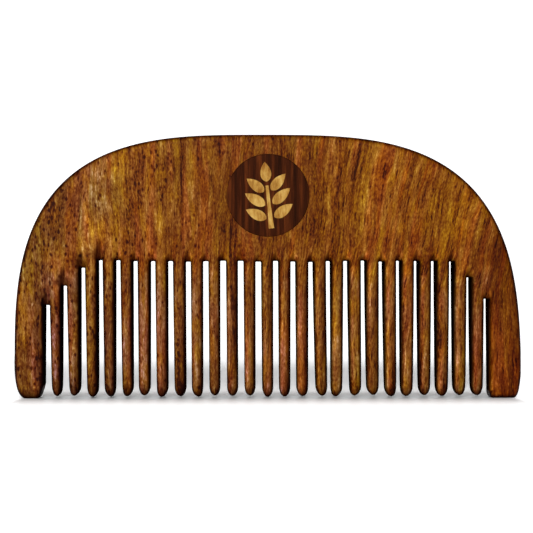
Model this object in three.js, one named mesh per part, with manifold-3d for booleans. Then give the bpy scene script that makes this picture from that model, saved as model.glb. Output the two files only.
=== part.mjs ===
// Wooden beard comb with 25 thin teeth, two wide guard teeth and an inlaid roundel.
// Millimetres, +Z up. The comb stands on its guard teeth: X runs along the row of teeth,
// Y through the board (the roundel is on the -Y face), and the origin is under the middle.
import * as THREE from 'three';
import { mergeVertices } from 'three/addons/utils/BufferGeometryUtils.js';
import Module from 'manifold-3d';

// ---- board
const HALF_WIDTH = 57.95; // half the length, at the guard teeth
const THICKNESS = 9.6; // of the spine
const FOOT_THICKNESS = 7.6; // both faces taper from the root line down to this
const ARCH_BASE = 1.5; // height where the arched outline is widest
const ARCH_RISE = 58.7; // from there to the top
const ARCH_POWER = 3.2; // 2 is an ellipse, more is squarer
const ARCH_LEAN = 0.018; // the crown drifts this share of its height towards -X
const RIM_ROUND = 1.2; // rounding of the outer edges
const RIM_STEPS = 3;

// ---- teeth and the saw cuts between them
const PITCH = 4.02;
const THIN_TEETH = 25;
const CUT_SHIFT = -0.29; // the row sits a little towards -X
const GAP_AT_ROOT = 1.4;
const GAP_AT_TIP = 1.55;
const ROOT_LINE = 31.3; // top of the full-depth saw cuts
const SHORT_CUTS = { 1: 21.3, 2: 25.7, 3: 29.8, 25: 27.6, 26: 22.7 }; // cut number: its top
const EDGE_ROUND = 0.9; // rounding of the teeth beside each cut
const EDGE_STEPS = 3;
const TIP_HEIGHT = 2.2; // length over which a thin tooth narrows
const TIP_Z = 0.3; // thin teeth end just above the guard teeth's feet
const TIP_SIDE_HEIGHT = 7; // seen from the comb's end, a thin tooth comes to a rounded point
const TIP_SIDE_FLAT = 1.0; // half-width left at its very end
const FLUTE_HEIGHT = 3.2; // each cut's rounding runs out into the board above it

// ---- inlaid roundel
const DISC = { x: -0.1, z: 46.3, radius: 9.4, depth: 1.5 };
const INLAY_DEPTH = 0.8;
const GLUE_LINE = 0.04;
const SPRIG_TILT = 6; // degrees, towards -X

const ROSEWOOD = { color: 0x8b5725, roughness: 0.5, metalness: 0 };
const DARK_WOOD = { color: 0x3a1f12, roughness: 0.5, metalness: 0 };
const PALE_WOOD = { color: 0xd6b468, roughness: 0.55, metalness: 0 };

const wasm = await Module();
wasm.setup();

// A three.js geometry as a solid that can be cut, and back again.
function solid(geometry) {
  const bare = geometry.clone();
  bare.deleteAttribute('normal');
  bare.deleteAttribute('uv');
  const merged = mergeVertices(bare, 1e-4);
  return new wasm.Manifold(new wasm.Mesh({
    numProp: 3,
    vertProperties: new Float32Array(merged.attributes.position.array),
    triVerts: new Uint32Array(merged.index.array),
  }));
}

function geometryOf(body) {
  const mesh = body.getMesh();
  const geometry = new THREE.BufferGeometry();
  geometry.setAttribute('position', new THREE.BufferAttribute(mesh.vertProperties, 3));
  geometry.setIndex(new THREE.BufferAttribute(mesh.triVerts, 1));
  geometry.computeVertexNormals();
  return geometry;
}

function box(x0, x1, y0, y1, z0, z1) {
  return solid(new THREE.BoxGeometry(x1 - x0, y1 - y0, z1 - z0)
    .translate((x0 + x1) / 2, (y0 + y1) / 2, (z0 + z1) / 2));
}

// An outline drawn in X and Z, carried through y0 to y1.
function frontPrism(shape, y0, y1) {
  return new THREE.ExtrudeGeometry(shape, { depth: y1 - y0, bevelEnabled: false })
    .rotateX(Math.PI / 2).translate(0, y1, 0);
}

// An outline drawn in Y and Z, carried along X for the given length about the middle.
function endPrism(shape, length) {
  return new THREE.ExtrudeGeometry(shape, { depth: length, bevelEnabled: false, curveSegments: 4 })
    .rotateX(Math.PI / 2).rotateZ(Math.PI / 2).translate(-length / 2, 0, 0);
}

// ---- the uncut board: an arch on straight sides, with eased feet and rounded rims
function boardGeometry() {
  const shape = new THREE.Shape();
  shape.moveTo(-55.05, 0);
  shape.lineTo(55.4, 0);
  shape.lineTo(57.2, 1.4);
  const steps = 60;
  for (let i = 0; i <= steps; i++) {
    const t = THREE.MathUtils.lerp(0.012, Math.PI - 0.03, i / steps);
    const rise = ARCH_RISE * Math.sin(t) ** (2 / ARCH_POWER);
    const reach = HALF_WIDTH * Math.abs(Math.cos(t)) ** (2 / ARCH_POWER) * Math.sign(Math.cos(t));
    shape.lineTo(reach - ARCH_LEAN * (rise - ARCH_RISE / 6) * (rise > ARCH_RISE / 6), ARCH_BASE + rise);
  }
  shape.lineTo(-56.75, 1.6);
  return new THREE.ExtrudeGeometry(shape, {
    depth: THICKNESS - 2 * RIM_ROUND,
    curveSegments: 4,
    bevelThickness: RIM_ROUND,
    bevelSize: RIM_ROUND,
    bevelOffset: -RIM_ROUND,
    bevelSegments: RIM_STEPS,
  }).rotateX(Math.PI / 2).translate(0, THICKNESS / 2 - RIM_ROUND, 0);
}

const thicknessAt = (z) => THREE.MathUtils.mapLinear(Math.min(z, ROOT_LINE), 0, ROOT_LINE,
  FOOT_THICKNESS, THICKNESS);

// ---- one saw cut: narrow in the middle of the board, flared at both faces by the
// rounding of the teeth beside it, and running out upwards in a pointed flute
function cutSolid(top) {
  const half = THICKNESS / 2;
  const side = [];
  for (let i = 0; i <= EDGE_STEPS; i++) {
    const a = (Math.PI / 2) * (i / EDGE_STEPS);
    side.push([GAP_AT_ROOT / 2 + EDGE_ROUND * (1 - Math.cos(a)),
      half - EDGE_ROUND + EDGE_ROUND * Math.sin(a)]);
  }
  const wide = GAP_AT_ROOT / 2 + EDGE_ROUND;
  const quarter = [...side, [wide, half + 1]];
  const right = [...quarter.map(([x, y]) => [x, -y]).reverse(), ...quarter];
  const left = right.map(([x, y]) => [-x, y]).reverse();
  const section = new THREE.Shape([...right, ...left].map(([x, y]) => new THREE.Vector2(x, y)));
  const slot = new THREE.ExtrudeGeometry(section, { depth: top + 2, bevelEnabled: false })
    .translate(0, 0, -2);
  for (let i = 0; i < slot.attributes.position.count; i++) {
    slot.attributes.position.setY(i,
      slot.attributes.position.getY(i) * (thicknessAt(top) / THICKNESS));
  }
  const p = slot.attributes.position;
  const widen = (GAP_AT_TIP - GAP_AT_ROOT) / 2;
  for (let i = 0; i < p.count; i++) {
    const x = p.getX(i);
    if (p.getZ(i) < 0) {
      p.setX(i, x + Math.sign(x) * widen);
      p.setY(i, p.getY(i) * (thicknessAt(-2) / thicknessAt(top)));
    }
  }
  let cut = solid(slot);
  for (const face of [-1, 1]) {
    const flute = new THREE.ConeGeometry(1, FLUTE_HEIGHT, 8).rotateX(Math.PI / 2)
      .scale(wide / Math.cos(Math.PI / 8), EDGE_ROUND, 1)
      .translate(0, face * thicknessAt(top) / 2, top + FLUTE_HEIGHT / 2 - 0.01);
    cut = cut.add(solid(flute));
  }
  return cut;
}

const cutX = (k) => (k - (THIN_TEETH + 2) / 2) * PITCH + CUT_SHIFT; // cuts are numbered 1 to 26
const cutTop = (k) => SHORT_CUTS[k] ?? ROOT_LINE;

// Both faces, seen from the comb's end: parallel above the root line, tapering below it.
function facesSolid() {
  const h = THICKNESS / 2;
  const f = FOOT_THICKNESS / 2;
  const side = new THREE.Shape([
    [-f, 0], [f, 0], [h, ROOT_LINE], [h, 70], [-h, 70], [-h, ROOT_LINE],
  ].map(([y, z]) => new THREE.Vector2(y, z)));
  return solid(endPrism(side, 130));
}

let comb = solid(boardGeometry()).intersect(facesSolid());
const cuts = [];
for (let k = 1; k <= THIN_TEETH + 1; k++) cuts.push(cutSolid(cutTop(k)).translate([cutX(k), 0, 0]));
for (const cut of cuts) comb = comb.subtract(cut);

const group = new THREE.Group();
function piece(name, geometry, look, parent = group) {
  const mesh = new THREE.Mesh(geometry, new THREE.MeshStandardMaterial(look));
  mesh.name = name;
  parent.add(mesh);
  return mesh;
}

// ---- spine: everything above the root line, with a round seat for the roundel
const Y = THICKNESS / 2 + 1;
const seat = new THREE.CylinderGeometry(DISC.radius + GLUE_LINE, DISC.radius + GLUE_LINE,
  DISC.depth + 1, 48).translate(DISC.x, -THICKNESS / 2 + (DISC.depth - 1) / 2, DISC.z);
const spine = comb.intersect(box(-60, 60, -Y, Y, ROOT_LINE, 62)).subtract(solid(seat));
piece('spine', geometryOf(spine), ROSEWOOD);

// ---- root webs: the narrow strips of board left above the shorter end cuts
for (const [k, top] of Object.entries(SHORT_CUTS)) {
  const x = cutX(Number(k));
  const web = comb.intersect(box(x - PITCH / 2, x + PITCH / 2, -Y, Y, top, ROOT_LINE))
    .intersect(box(x - GAP_AT_ROOT / 2, x + GAP_AT_ROOT / 2, -Y, Y, 0, 60));
  piece(`root_web_${String(k).padStart(2, '0')}`, geometryOf(web), ROSEWOOD);
}

// ---- guard teeth at both ends
const innerLeft = cutX(1) - GAP_AT_ROOT / 2;
const innerRight = cutX(THIN_TEETH + 1) + GAP_AT_ROOT / 2;
piece('guard_tooth_left',
  geometryOf(comb.intersect(box(-60, innerLeft, -Y, Y, -1, ROOT_LINE))), ROSEWOOD);
piece('guard_tooth_right',
  geometryOf(comb.intersect(box(innerRight, 60, -Y, Y, -1, ROOT_LINE))), ROSEWOOD);

// ---- thin teeth: each narrows to a blunt rounded tip
function tipMould() {
  const reach = PITCH / 2 - GAP_AT_ROOT / 2;
  const front = new THREE.Shape();
  front.moveTo(reach, ROOT_LINE);
  front.lineTo(reach, TIP_Z + TIP_HEIGHT + 0.6);
  front.quadraticCurveTo(reach * 0.88, TIP_Z + 0.25, 0, TIP_Z);
  front.quadraticCurveTo(-reach * 0.88, TIP_Z + 0.25, -reach, TIP_Z + TIP_HEIGHT + 0.6);
  front.lineTo(-reach, ROOT_LINE);
  const h = THICKNESS / 2 + 1;
  const f = FOOT_THICKNESS / 2;
  const side = new THREE.Shape();
  side.moveTo(-h, ROOT_LINE);
  side.lineTo(-h, TIP_Z + TIP_SIDE_HEIGHT);
  side.lineTo(-f, TIP_Z + TIP_SIDE_HEIGHT);
  side.quadraticCurveTo(-f, TIP_Z, -TIP_SIDE_FLAT, TIP_Z);
  side.lineTo(TIP_SIDE_FLAT, TIP_Z);
  side.quadraticCurveTo(f, TIP_Z, f, TIP_Z + TIP_SIDE_HEIGHT);
  side.lineTo(h, TIP_Z + TIP_SIDE_HEIGHT);
  side.lineTo(h, ROOT_LINE);
  const a = new THREE.ExtrudeGeometry(front, { depth: 2 * Y, bevelEnabled: false, curveSegments: 5 })
    .rotateX(Math.PI / 2).translate(0, Y, 0);
  const b = endPrism(side, 6);
  return solid(a).intersect(solid(b));
}
const mould = tipMould();
for (let n = 1; n <= THIN_TEETH; n++) {
  const x = (cutX(n) + cutX(n + 1)) / 2;
  const tooth = comb.intersect(mould.translate([x, 0, 0])).translate([-x, 0, 0]);
  piece(`tooth_${String(n).padStart(2, '0')}`, geometryOf(tooth), ROSEWOOD).position.x = x;
}

// ---- roundel: a dark disc flush with the face, with a pale sprig let into it
const roundel = new THREE.Group();
roundel.position.set(DISC.x, -THICKNESS / 2, DISC.z);
group.add(roundel);

// A leaf from its base at the origin to its point, drawn upwards.
function leafShape(length, width, spare) {
  const leaf = new THREE.Shape();
  leaf.moveTo(0, -1.5 * spare);
  leaf.bezierCurveTo(width * 0.45 + spare, length * 0.08, width * 0.68 + spare, length * 0.52,
    0, length + 2.5 * spare);
  leaf.bezierCurveTo(-width * 0.68 - spare, length * 0.52, -width * 0.45 - spare, length * 0.08,
    0, -1.5 * spare);
  return leaf;
}

function stalkShape(spare) {
  const w = 0.42 + spare;
  const stalk = new THREE.Shape();
  stalk.moveTo(-w * 1.5, -7.6 - spare);
  stalk.lineTo(w * 1.5, -7.6 - spare);
  stalk.quadraticCurveTo(w, -3, w * 0.8, 2.3 + spare);
  stalk.lineTo(-w * 0.8, 2.3 + spare);
  stalk.quadraticCurveTo(-w, -3, -w * 1.5, -7.6 - spare);
  return stalk;
}

const SPRIG = [ // name, length, width, turn in degrees from upright, base (x, z)
  ['leaf_top', 4.6, 3.0, 0, [0, 3.1]],
  ['leaf_left_1', 5.2, 2.9, 60, [-0.9, -5.3]],
  ['leaf_right_1', 5.2, 2.9, -60, [0.9, -5.1]],
  ['leaf_left_2', 5.4, 2.9, 54, [-0.85, -2.2]],
  ['leaf_right_2', 5.4, 2.9, -54, [0.85, -2.0]],
  ['leaf_left_3', 5.0, 2.8, 47, [-0.8, 0.9]],
  ['leaf_right_3', 5.0, 2.8, -47, [0.8, 1.1]],
];
const tilt = THREE.MathUtils.degToRad(SPRIG_TILT);

// One inlay, or its slightly larger pocket, in the roundel's own frame.
function inlay(shape, y0, depth, turn, [x, z]) {
  return frontPrism(shape, y0, y0 + depth).rotateY(-turn).translate(x, 0, z).rotateY(-tilt);
}

let disc = solid(new THREE.CylinderGeometry(DISC.radius, DISC.radius, DISC.depth, 48)
  .translate(0, DISC.depth / 2, 0));
const sprig = [['stalk', stalkShape, 0, [0, 0]],
  ...SPRIG.map(([name, length, width, turn, base]) => [name,
    (spare) => leafShape(length, width, spare), THREE.MathUtils.degToRad(turn), base])];
for (const [name, shape, turn, base] of sprig) {
  disc = disc.subtract(solid(inlay(shape(GLUE_LINE), -1, 1 + INLAY_DEPTH, turn, base)));
  piece(name, geometryOf(solid(inlay(shape(0), 0, INLAY_DEPTH, turn, base))), PALE_WOOD, roundel);
}
piece('emblem_disc', geometryOf(disc), DARK_WOOD, roundel);

export default group;
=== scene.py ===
# %% [markdown]
# # Wooden beard comb
# The real comb is one rosewood board: an arched back, 26 saw cuts that leave 25 thin teeth between
# two wide guard teeth, and a dark roundel with a pale leaf sprig let into its face. Nothing moves
# and nothing is fastened, so the lesson is one profile carried along one path, and three woods.
# Lengths are in millimetres and become metres where a mesh is made.

# %% Load the frame
import math
import bpy
import numpy as np
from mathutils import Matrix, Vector
from mathutils.geometry import delaunay_2d_cdt


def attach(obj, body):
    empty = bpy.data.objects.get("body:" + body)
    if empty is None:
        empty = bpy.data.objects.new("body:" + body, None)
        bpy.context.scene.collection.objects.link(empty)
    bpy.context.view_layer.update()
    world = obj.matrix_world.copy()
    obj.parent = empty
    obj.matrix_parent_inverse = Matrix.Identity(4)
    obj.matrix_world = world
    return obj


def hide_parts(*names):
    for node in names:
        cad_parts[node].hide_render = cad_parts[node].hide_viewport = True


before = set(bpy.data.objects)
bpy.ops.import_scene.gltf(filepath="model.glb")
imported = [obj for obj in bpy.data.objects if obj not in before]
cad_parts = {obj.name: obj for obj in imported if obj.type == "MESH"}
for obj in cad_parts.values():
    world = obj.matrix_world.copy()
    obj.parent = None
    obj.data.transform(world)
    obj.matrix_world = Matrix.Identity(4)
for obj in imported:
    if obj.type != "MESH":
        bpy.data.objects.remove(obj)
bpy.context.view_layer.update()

rng = np.random.default_rng(26)

# %% Driving dimensions, in millimetres
HALF_WIDTH = 57.95                  # half the length, at the guard teeth
THICK, FOOT_THICK = 9.6, 7.6        # of the spine and of the feet
ARCH_BASE, ARCH_RISE = 1.5, 58.7    # height where the arch is widest, and from there to its crown
ARCH_POWER, ARCH_LEAN = 3.2, 0.018  # 2 is an ellipse, more is squarer; drift to -X per mm of height
PITCH, TEETH = 4.02, 25             # from cut to cut, and the number of thin teeth
ROOT = 31.3                         # height where the full-depth cuts end
SHORT_TOPS = {1: 21.3, 2: 25.7, 3: 29.8, 25: 27.6, 26: 22.7}   # cut number: where it ends instead
GAP_ROOT, GAP_TIP = 1.24, 1.44      # width of a cut at the root line and at the feet
CUT_SHIFT = -0.29                   # the row of cuts sits a little towards -X
RIM = 1.5                           # width of the rounding along the outer rim
TIP_HIGH, TIP_SIDE = 2.2, 7.0       # a thin tooth's rounding seen from the front and from the end
DISC_X, DISC_Z, DISC_R = -0.1, 46.3, 9.4
HALF = THICK / 2
print("comb", 2 * HALF_WIDTH, "x", THICK, "x", ARCH_BASE + ARCH_RISE, "mm")

# %% [markdown]
# ## Saw cuts and teeth
# On the real comb a row of saw blades cuts the slots, and each tooth is then rubbed round by hand,
# so no two are quite alike. Cutting the slots with booleans would give every tooth the same hard
# edge. Here a cut is two functions of height, its middle and its half-width, and small seeded
# random numbers stand for the hand work.

# %% Place, width and height of each cut
GAPS = np.arange(1, TEETH + 2)
GAP_X = (GAPS - (TEETH + 2) / 2) * PITCH + CUT_SHIFT + rng.normal(0, 0.035, TEETH + 1)
GAP_W = rng.normal(0, 0.03, TEETH + 1)                     # wider or narrower than the rest
WIDER = np.where(GAPS <= 2, 0.42, np.where(GAPS <= 5, 0.08, 0.0))   # the first open more downwards
GAP_TOP = np.array([SHORT_TOPS.get(int(k), ROOT + rng.normal(0, 0.10)) for k in GAPS])
print("cuts", len(GAPS), "from x", round(GAP_X[0], 2), "to", round(GAP_X[-1], 2))

# %% Hand work on the flutes over the cuts and on the tips
FLUTE = 3.0 + rng.normal(0, 0.35, TEETH + 1)               # how far a flute runs up the board
FLUTE[:5] = 4.2, 5.4, 4.8, 6.0, 3.8                        # further over the first cuts
TIP_Z = 0.2 + np.abs(rng.normal(0, 0.22, TEETH))           # height of each tooth's end
TIP_SKEW = rng.normal(0, 0.12, TEETH)                      # how far a tip is rubbed to one side
SCOOP = np.where(GAPS <= 4, 1.0, rng.uniform(0.3, 0.75, TEETH + 1))   # how soft a flute's hollow is
BEND = rng.normal(0, 0.05, TEETH)                          # sideways drift of each tip
BEND[[15, 17, 18, 19]] = 0.45, 0.25, 0.20, 0.25            # four teeth have warped
print("flutes", FLUTE.min().round(1), "to", FLUTE.max().round(1), "mm")

# %% A cut and a tooth at any height
LEAN_LEFT, NO_LEAN = 0.30, 23     # drift of the first cut's foot to +X, and the cut without any
EDGE_SHARE = 0.42                 # the rounding beside a cut, as a share of a thin tooth's width
GUARD_EDGE = 0.95                 # and its width on a guard tooth
SEAM_DROP = 2.2                   # a tooth's own mesh starts this far below its lower cut top


def gap_half(k, z):
    """Half of cut k's width at height z: the root width, plus the taper times the way down."""
    taper = GAP_TIP + WIDER[k] - GAP_ROOT
    return (GAP_ROOT + GAP_W[k] + taper * (1 - np.asarray(z) / ROOT)) / 2


def gap_mid(k, z):
    """Middle of cut k at height z: the lean grows evenly downwards and fades towards the right."""
    return GAP_X[k] + LEAN_LEFT * (1 - k / NO_LEAN) * (1 - np.asarray(z) / ROOT)


def bend(tooth, z):
    """Sideways drift of a thin tooth: its tip's drift times the way down to the power 1.5."""
    return BEND[tooth] * (1 - np.asarray(z, float) / ROOT) ** 1.5 if 0 <= tooth < TEETH else 0.0


def inset(tooth, z):
    """Width of the rounding beside a cut: a share of a thin tooth, one figure on a guard tooth."""
    if tooth < 0 or tooth >= TEETH:
        return np.full(np.shape(z), GUARD_EDGE)
    wood = gap_mid(tooth + 1, z) - gap_mid(tooth, z) - gap_half(tooth, z) - gap_half(tooth + 1, z)
    return EDGE_SHARE * wood


def seam(tooth):
    """Height where a tooth's own mesh starts; -1 and 25 are the guard teeth."""
    if tooth < 0:
        return GAP_TOP[0] - SEAM_DROP
    if tooth >= TEETH:
        return GAP_TOP[-1] - SEAM_DROP
    return min(GAP_TOP[tooth], GAP_TOP[tooth + 1]) - SEAM_DROP


print("tooth width at root", round(PITCH - GAP_ROOT, 2), "at tip", round(PITCH - GAP_TIP, 2))

# %% Thickness of the board, and depth of its rounding


def half_at(z):
    """Half the thickness: even above the root line, tapering evenly from there to the feet."""
    return (FOOT_THICK + (THICK - FOOT_THICK) * np.clip(z, 0, ROOT) / ROOT) / 2


def depth_at(z):
    """Depth of the rounding beside a cut: 0.85 above z = 20, growing evenly to 1.35 at z = 4."""
    return 0.85 + 0.5 * np.clip((20 - np.asarray(z, float)) / 16, 0, 1)


print("half thickness", half_at(0), "to", half_at(ROOT))

# %% [markdown]
# ## One path round the board
# The board's edge is one closed line: over the arch, round a foot, up and down every cut, and round
# the other foot. It could be a flat curve with a bevel, but a bevel has the same width everywhere.
# So each path point is a row of eight numbers: P, a point on the wall (x, z); Q, the face point
# where the rounding starts (x, z); the depth of the rounding; how far it is hollowed into a flute;
# 1 for a sawn wall or 0 for the outer rim; and half the thickness there.

# %% Rows for the arch and the feet
RIM_DEPTH, FOOT_DEPTH = 1.35, 1.25


def rows(px, pz, qx, qz, depth, gouge_and_shade=0.0, wall=1.0):
    """Path points from their parts, each a number or one value per point."""
    parts = (px, pz, qx, qz, depth, gouge_and_shade, wall, half_at(np.asarray(qz)))
    return np.column_stack([np.broadcast_to(part, np.shape(px)) for part in parts])


def arch(t, inside):
    """A superellipse, inside the rim by that much: width and rise times cosine and sine to the
    power 2/n, then moved to -X by the lean times the rise above a sixth of the arch."""
    rise = (ARCH_RISE - inside) * np.sin(t) ** (2 / ARCH_POWER)
    wide = (HALF_WIDTH - inside) * np.abs(np.cos(t)) ** (2 / ARCH_POWER) * np.sign(np.cos(t))
    return wide - ARCH_LEAN * np.maximum(rise - ARCH_RISE / 6, 0), ARCH_BASE + rise


def rim_rows(t):
    """P on the arch and Q on a smaller one inside it, at the angles t."""
    px, pz = arch(t, 0)
    qx, qz = arch(t, RIM)
    return rows(px, pz, qx, qz, RIM_DEPTH, 0.0, 0.0)


def bezier(points, n, skip_first=True):
    """A cubic Bezier curve in n steps: its four points weighted by (1-s)^3, 3s(1-s)^2, 3s^2(1-s)
    and s^3."""
    s = np.linspace(0, 1, n + 1)[1:] if skip_first else np.linspace(0, 1, n + 1)
    weights = np.column_stack([(1 - s) ** 3, 3 * s * (1 - s) ** 2, 3 * s * s * (1 - s), s ** 3])
    return weights @ np.array(points, float)


def foot_rows(p, q, n=14):
    """P and Q each follow a Bezier curve round a foot."""
    a, b = bezier(p, n), bezier(q, n)
    return rows(a[:, 0], a[:, 1], b[:, 0], b[:, 1], FOOT_DEPTH, 0.0, 0.0)


print("crown at", [round(float(v), 2) for v in arch(math.pi / 2, 0)])

# %% Rows for a cut's walls and its top
TOP_REACH, CORNER = 1.3, 0.22     # the top's rows start this far below it, and round its corners


def wall_rows(k, side, z, tooth):
    """A cut's wall over the heights z; side -1 is its left wall, whose wood lies further left."""
    z = np.asarray(z, float)
    p = gap_mid(k, z) + side * gap_half(k, z) + bend(tooth, z)
    return rows(p, z, p + side * inset(tooth, z), z, depth_at(z))


def half_top(k, side, tooth):
    """From a cut's wall to the middle of its top. P goes up, round a small corner and inwards. Q
    moves in as 1 - u^1.7 and rises to the point of the flute as u^0.9."""
    top = GAP_TOP[k]
    g = gap_half(k, top)
    turn = np.linspace(0, math.pi / 2, 5)
    up = np.linspace(-TOP_REACH, -CORNER, 6)[1:]
    inwards = np.linspace(g - CORNER, 0, 6)[1:]
    px = np.concatenate([np.full(5, g), g - CORNER + CORNER * np.cos(turn[1:]), inwards])
    pz = np.concatenate([top + up, top - CORNER + CORNER * np.sin(turn[1:]), np.full(5, top)])
    u = np.linspace(0, 1, len(px) + 1)[1:] ** 1.1
    hollow = np.clip(u * 1.6, 0, 1)
    qx = (g + inset(tooth, top)) * (1 - u ** 1.7)
    qz = top - TOP_REACH + (FLUTE[k] + TOP_REACH) * u ** 0.9
    middle = gap_mid(k, top)
    # the right half is hollowed half as much, so the flute's painted shade lies mostly on its left flank
    scoop = SCOOP[k] * hollow * (1.0 if side < 0 else 0.5)
    return rows(middle + side * px, pz, middle + side * qx, qz, 0.85 + 0.65 * hollow, scoop)


def top_rows(k):
    """Over cut k, from its left wall to its right."""
    return np.vstack([half_top(k, -1, k - 1), half_top(k, 1, k)[:-1][::-1]])


print("cut top path", top_rows(5).shape)

# %% Rows for a thin tooth
END_THIN = 0.42       # share of the thickness left at the very end of a tooth
RIDGE = 0.16          # share of the width that stays flat on a tip's face


def tip_rows(n):
    """Half an ellipse round a tip: x follows a sine and z a cosine, and the tip is pushed aside by
    its skew times the cosine squared."""
    f = np.linspace(-math.pi / 2, math.pi / 2, 21)[1:-1]
    z = TIP_Z[n] + TIP_HIGH * (1 - np.cos(f))
    left = gap_mid(n, z) + gap_half(n, z)
    right = gap_mid(n + 1, z) - gap_half(n + 1, z)
    middle, half = (left + right) / 2 + bend(n, z), (right - left) / 2
    return middle + half * np.sin(f) + TIP_SKEW[n] * np.cos(f) ** 2, z, middle + RIDGE * half * np.sin(f)


def tooth_rows(n):
    """Down a tooth's left wall from its seam, round the tip and up its right wall. Seen from the
    comb's end, both faces curve in over the last stretch, as a quarter circle does."""
    z = np.linspace(seam(n), TIP_Z[n] + TIP_HIGH, 16)
    x, tip_z, qx = tip_rows(n)
    path = np.vstack([wall_rows(n, 1, z, n), rows(x, tip_z, qx, tip_z, depth_at(tip_z)),
                      wall_rows(n + 1, -1, z[::-1], n)])
    above = path[:, 1] - TIP_Z[n]
    path[:, 3] = path[:, 1] + 0.9 * np.clip(1 - above / TIP_HIGH, 0, 1) ** 1.5
    share = np.clip((path[:, 3] - TIP_Z[n]) / TIP_SIDE, 0, 1)
    path[:, 7] = half_at(path[:, 3]) * (END_THIN + (1 - END_THIN) * np.sqrt(1 - (1 - share) ** 2))
    return path


print("tooth path", tooth_rows(3).shape)

# %% Where the rim hands over to the guard teeth, and each guard tooth to its foot
LEFT_FOOT, RIGHT_FOOT = 7.4, 5.6      # heights where the feet begin to round off
ANGLES = np.linspace(0, math.pi, 4001)
HEIGHTS = arch(ANGLES, 0)[1]


def angle_at(height, left):
    """The arch angle, counted from +X, at which one side of the arch passes a height."""
    if left:
        return ANGLES[2000:][np.searchsorted(-HEIGHTS[2000:], -height)]
    return ANGLES[:2000][np.searchsorted(HEIGHTS[:2000], height)]


t_right, t_left = angle_at(seam(TEETH), False), angle_at(seam(-1), True)
print("arch angles", round(t_right, 3), round(t_left, 3))

# %% The left guard tooth: down the rim, round the foot and up to the first cut
low = rim_rows(np.linspace(t_left, angle_at(LEFT_FOOT, True), 14)[1:])
toe = foot_rows([low[-1, :2], (-57.85, 3.0), (-57.15, 0.5), (-55.65, 0)],
                [low[-1, 2:4], (-56.35, 4.4), (-56.15, 2.2), (-55.15, RIM)])
sole = foot_rows([(-55.65, 0), (-54.6, 0), (-53.6, 0), (-52.7, 0)],
                 [(-55.15, RIM), (-54.5, RIM), (-53.9, RIM), (-53.3, RIM)], 5)
inner = wall_rows(0, -1, np.linspace(3.3, seam(-1), 14), -1)
heel = foot_rows([(-52.7, 0), (-52.1, 0), (inner[0, 0] - 0.45, 1.4), inner[0, :2]],
                 [(-53.3, RIM), (-52.9, RIM), (inner[0, 2] - 0.4, 2.6), inner[0, 2:4]], 8)[:-1]
LEFT_GUARD = np.vstack([low, toe, sole, heel, inner])
print("left guard path", LEFT_GUARD.shape)

# %% The right guard tooth: down from the last cut, round the foot and up the rim
inner = wall_rows(TEETH, 1, np.linspace(seam(TEETH), 1.8, 14), TEETH)
low = rim_rows(np.linspace(angle_at(RIGHT_FOOT, False), t_right, 14)[:-1])
heel = foot_rows([inner[-1, :2], (inner[-1, 0], 0.7), (50.95, 0), (51.6, 0)],
                 [inner[-1, 2:4], (inner[-1, 2] + 0.05, 2.2), (51.85, RIM), (52.3, RIM)], 8)
sole = foot_rows([(51.6, 0), (53, 0), (54.7, 0), (56.2, 0)],
                 [(52.3, RIM), (53.2, RIM), (54.4, RIM), (55.3, RIM)], 5)
toe = foot_rows([(56.2, 0), (57.35, 0), (57.7, 2.4), low[0, :2]],
                [(55.3, RIM), (56.0, RIM + 0.3), (56.25, 3.0), low[0, 2:4]], 14)[:-1]
RIGHT_GUARD = np.vstack([inner, heel, sole, toe, low])
print("right guard path", RIGHT_GUARD.shape)

# %% The closed path: rim, left guard, then each cut and tooth in turn, and the right guard
segments = [("spine", rim_rows(np.linspace(t_right, t_left, 220))), ("guard_tooth_left", LEFT_GUARD)]
for k in range(TEETH + 1):
    base = GAP_TOP[k] - TOP_REACH
    up = wall_rows(k, -1, np.linspace(seam(k - 1), base, 5)[1:], k - 1)
    down = wall_rows(k, 1, np.linspace(base, seam(k), 5)[:-1], k)
    segments.append(("spine", np.vstack([up, top_rows(k), down])))
    if k < TEETH:
        segments.append((f"tooth_{k + 1:02d}", tooth_rows(k)))
segments.append(("guard_tooth_right", RIGHT_GUARD))
PATH = np.vstack([path for _, path in segments])
N = len(PATH)
print("path points", N)

# %% [markdown]
# ## The profile
# Across the edge, the comb goes from the front face over a rounding, down the wall and over a
# second rounding to the back. A Bevel modifier could round it, but not more deeply at the tips
# than at the roots. So the profile is worked out at every path point, all of them at once.

# %% Carry the profile along the path
ROUND, WALL = 9, 3                                         # points across a rounding and a wall
TOWARDS_WALL = np.sin(np.linspace(0, math.pi / 2, ROUND))  # 0 on the face, 1 on the wall
WALL_STEPS = np.linspace(-1, 1, WALL + 2)[1:-1]


def board_points():
    """Quarter-circle rounding: depth d(1 - sqrt(1 - c^2)) at a share c of the way from Q to P,
    blended towards a soft scoop, d c^1.5, over the cuts. The wall joins front to back."""
    P, Q, d, g, h = PATH[:, None, 0:2], PATH[:, None, 2:4], PATH[:, 4:5], PATH[:, 5:6], PATH[:, 7:8]
    c = TOWARDS_WALL[None, :]
    drop = (1 - g) * (1 - np.sqrt(np.clip(1 - c * c, 0, 1))) + g * c ** 1.5
    xz = Q + (P - Q) * c[..., None]
    front = np.stack([xz[..., 0], d * drop - h, xz[..., 1]], -1)
    wall_y = (h - d) * WALL_STEPS[None, :]
    wall = np.stack([np.repeat(PATH[:, 0:1], WALL, 1), wall_y, np.repeat(PATH[:, 1:2], WALL, 1)], -1)
    back = front[:, ::-1] * np.array([1, -1, 1])
    return np.concatenate([front, wall, back], 1)


GRID = board_points()
M = GRID.shape[1]
print("grid", GRID.shape)
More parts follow.
